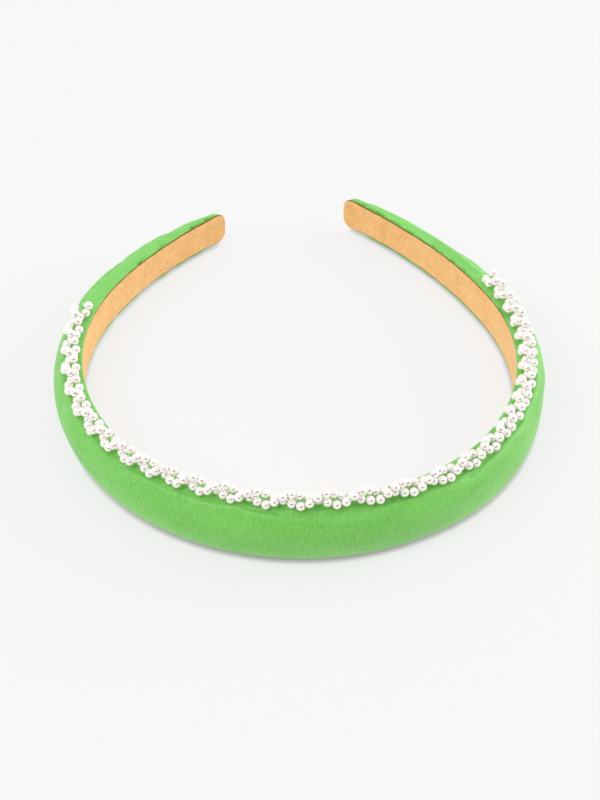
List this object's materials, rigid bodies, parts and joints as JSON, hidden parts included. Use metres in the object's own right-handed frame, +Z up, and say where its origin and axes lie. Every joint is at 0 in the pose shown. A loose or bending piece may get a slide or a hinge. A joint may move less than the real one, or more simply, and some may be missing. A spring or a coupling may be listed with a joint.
{
  "type": "padded headband",
  "caption": "Sprung open hoop for the hair, padded and wrapped in satin, lined with suede inside, with a twist of pearl beads sewn along one edge.",
  "frame": {"origin": "on the table that the headband lies on, under the middle of its bounding box", "axes": "+Z up, away from the table, towards the edge with the pearl trim; +Y from the crown towards the gap between the tips; +X towards the right tip"},
  "size_m": [0.1412, 0.1566, 0.0236],
  "materials": {
    "satin": "grass green satin, fine crosswise weave, soft sheen",
    "suede": "tan suede, short brushed nap",
    "plastic": "plain moulded",
    "foam": "soft open-cell padding",
    "pearl": "pearl lacquer",
    "thread": "clear nylon thread"
  },
  "bodies": {
    "crown": {"satin_cover_crown": "satin", "suede_lining_crown": "suede", "spring_core_crown": "plastic", "foam_pad_crown": "foam", "pearl_string_1_crown": "pearl", "pearl_string_2_crown": "pearl", "tack_stitch_6": "thread", "tack_stitch_7": "thread", "tack_stitch_8": "thread", "tack_stitch_9": "thread", "tack_stitch_10": "thread", "tack_stitch_11": "thread"},
    "left_arm": {"satin_cover_left_arm": "satin", "suede_lining_left_arm": "suede", "spring_core_left_arm": "plastic", "foam_pad_left_arm": "foam", "pearl_string_1_left_arm": "pearl", "pearl_string_2_left_arm": "pearl", "tack_stitch_1": "thread", "tack_stitch_2": "thread", "tack_stitch_3": "thread", "tack_stitch_4": "thread", "tack_stitch_5": "thread", "thread_knot_left": "thread"},
    "right_arm": {"satin_cover_right_arm": "satin", "suede_lining_right_arm": "suede", "spring_core_right_arm": "plastic", "foam_pad_right_arm": "foam", "pearl_string_1_right_arm": "pearl", "pearl_string_2_right_arm": "pearl", "tack_stitch_12": "thread", "tack_stitch_13": "thread", "tack_stitch_14": "thread", "tack_stitch_15": "thread", "tack_stitch_16": "thread", "thread_knot_right": "thread"}
  },
  "joints": [
    {"name": "left_spread", "type": "hinge", "parent": "crown", "child": "left_arm", "pos_m": [-0.04588, -0.06261, 0.0085], "axis": [0, 0, 1], "range_deg": [0, 14], "stiffness_Nm_per_rad": 1},
    {"name": "right_spread", "type": "hinge", "parent": "crown", "child": "right_arm", "pos_m": [0.05296, -0.05536, 0.0085], "axis": [0, 0, -1], "range_deg": [0, 14], "stiffness_Nm_per_rad": 1}
  ]
}
